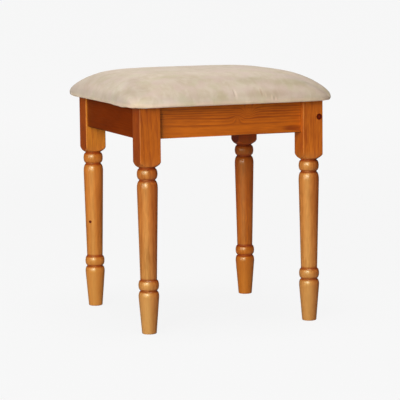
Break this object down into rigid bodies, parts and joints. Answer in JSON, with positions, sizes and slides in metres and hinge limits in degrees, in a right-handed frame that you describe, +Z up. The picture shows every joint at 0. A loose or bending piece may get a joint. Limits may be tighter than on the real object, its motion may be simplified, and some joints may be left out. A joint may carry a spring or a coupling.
{
  "type": "vanity stool",
  "caption": "Low upholstered stool: square domed fabric seat on turned wooden legs joined by straight rails, used to sit at a dressing table.",
  "frame": {"origin": "on the floor, under the middle of the stool", "axes": "+Z up, -Y towards the front (the side nearer the camera), +X to the right seen from the front"},
  "size_m": [0.418, 0.413, 0.482],
  "materials": {
    "leg_wood": "pine, warm brown stain under satin lacquer",
    "cross_rail_wood": "pine, warm brown stain under satin lacquer",
    "side_rail_wood": "darker pine, stained and lacquered satin",
    "block_wood": "sawn pine, bare",
    "dowel_wood": "beech, bare",
    "screw_steel": "zinc plated",
    "board_wood": "medium density fibre board, bare",
    "foam": "cut upholstery foam",
    "seat_fabric": "beige chenille with a short mottled nap",
    "lining_fabric": "black non-woven lining"
  },
  "bodies": {
    "root": {"leg_front_left": "leg_wood", "corner_block_front_left": "block_wood", "seat_screw_front_left": "screw_steel", "block_screw_front_left_cross": "screw_steel", "dowel_front_left_cross_upper": "dowel_wood", "dowel_front_left_cross_lower": "dowel_wood", "block_screw_front_left_side": "screw_steel", "dowel_front_left_side_upper": "dowel_wood", "dowel_front_left_side_lower": "dowel_wood", "leg_front_right": "leg_wood", "corner_block_front_right": "block_wood", "seat_screw_front_right": "screw_steel", "block_screw_front_right_cross": "screw_steel", "dowel_front_right_cross_upper": "dowel_wood", "dowel_front_right_cross_lower": "dowel_wood", "block_screw_front_right_side": "screw_steel", "dowel_front_right_side_upper": "dowel_wood", "dowel_front_right_side_lower": "dowel_wood", "leg_back_left": "leg_wood", "corner_block_back_left": "block_wood", "seat_screw_back_left": "screw_steel", "block_screw_back_left_cross": "screw_steel", "dowel_back_left_cross_upper": "dowel_wood", "dowel_back_left_cross_lower": "dowel_wood", "block_screw_back_left_side": "screw_steel", "dowel_back_left_side_upper": "dowel_wood", "dowel_back_left_side_lower": "dowel_wood", "leg_back_right": "leg_wood", "corner_block_back_right": "block_wood", "seat_screw_back_right": "screw_steel", "block_screw_back_right_cross": "screw_steel", "dowel_back_right_cross_upper": "dowel_wood", "dowel_back_right_cross_lower": "dowel_wood", "block_screw_back_right_side": "screw_steel", "dowel_back_right_side_upper": "dowel_wood", "dowel_back_right_side_lower": "dowel_wood", "rail_front": "cross_rail_wood", "rail_back": "cross_rail_wood", "rail_left": "side_rail_wood", "rail_right": "side_rail_wood", "seat_board": "board_wood", "seat_foam": "foam", "seat_cover": "seat_fabric", "dust_cloth": "lining_fabric"}
  },
  "joints": []
}
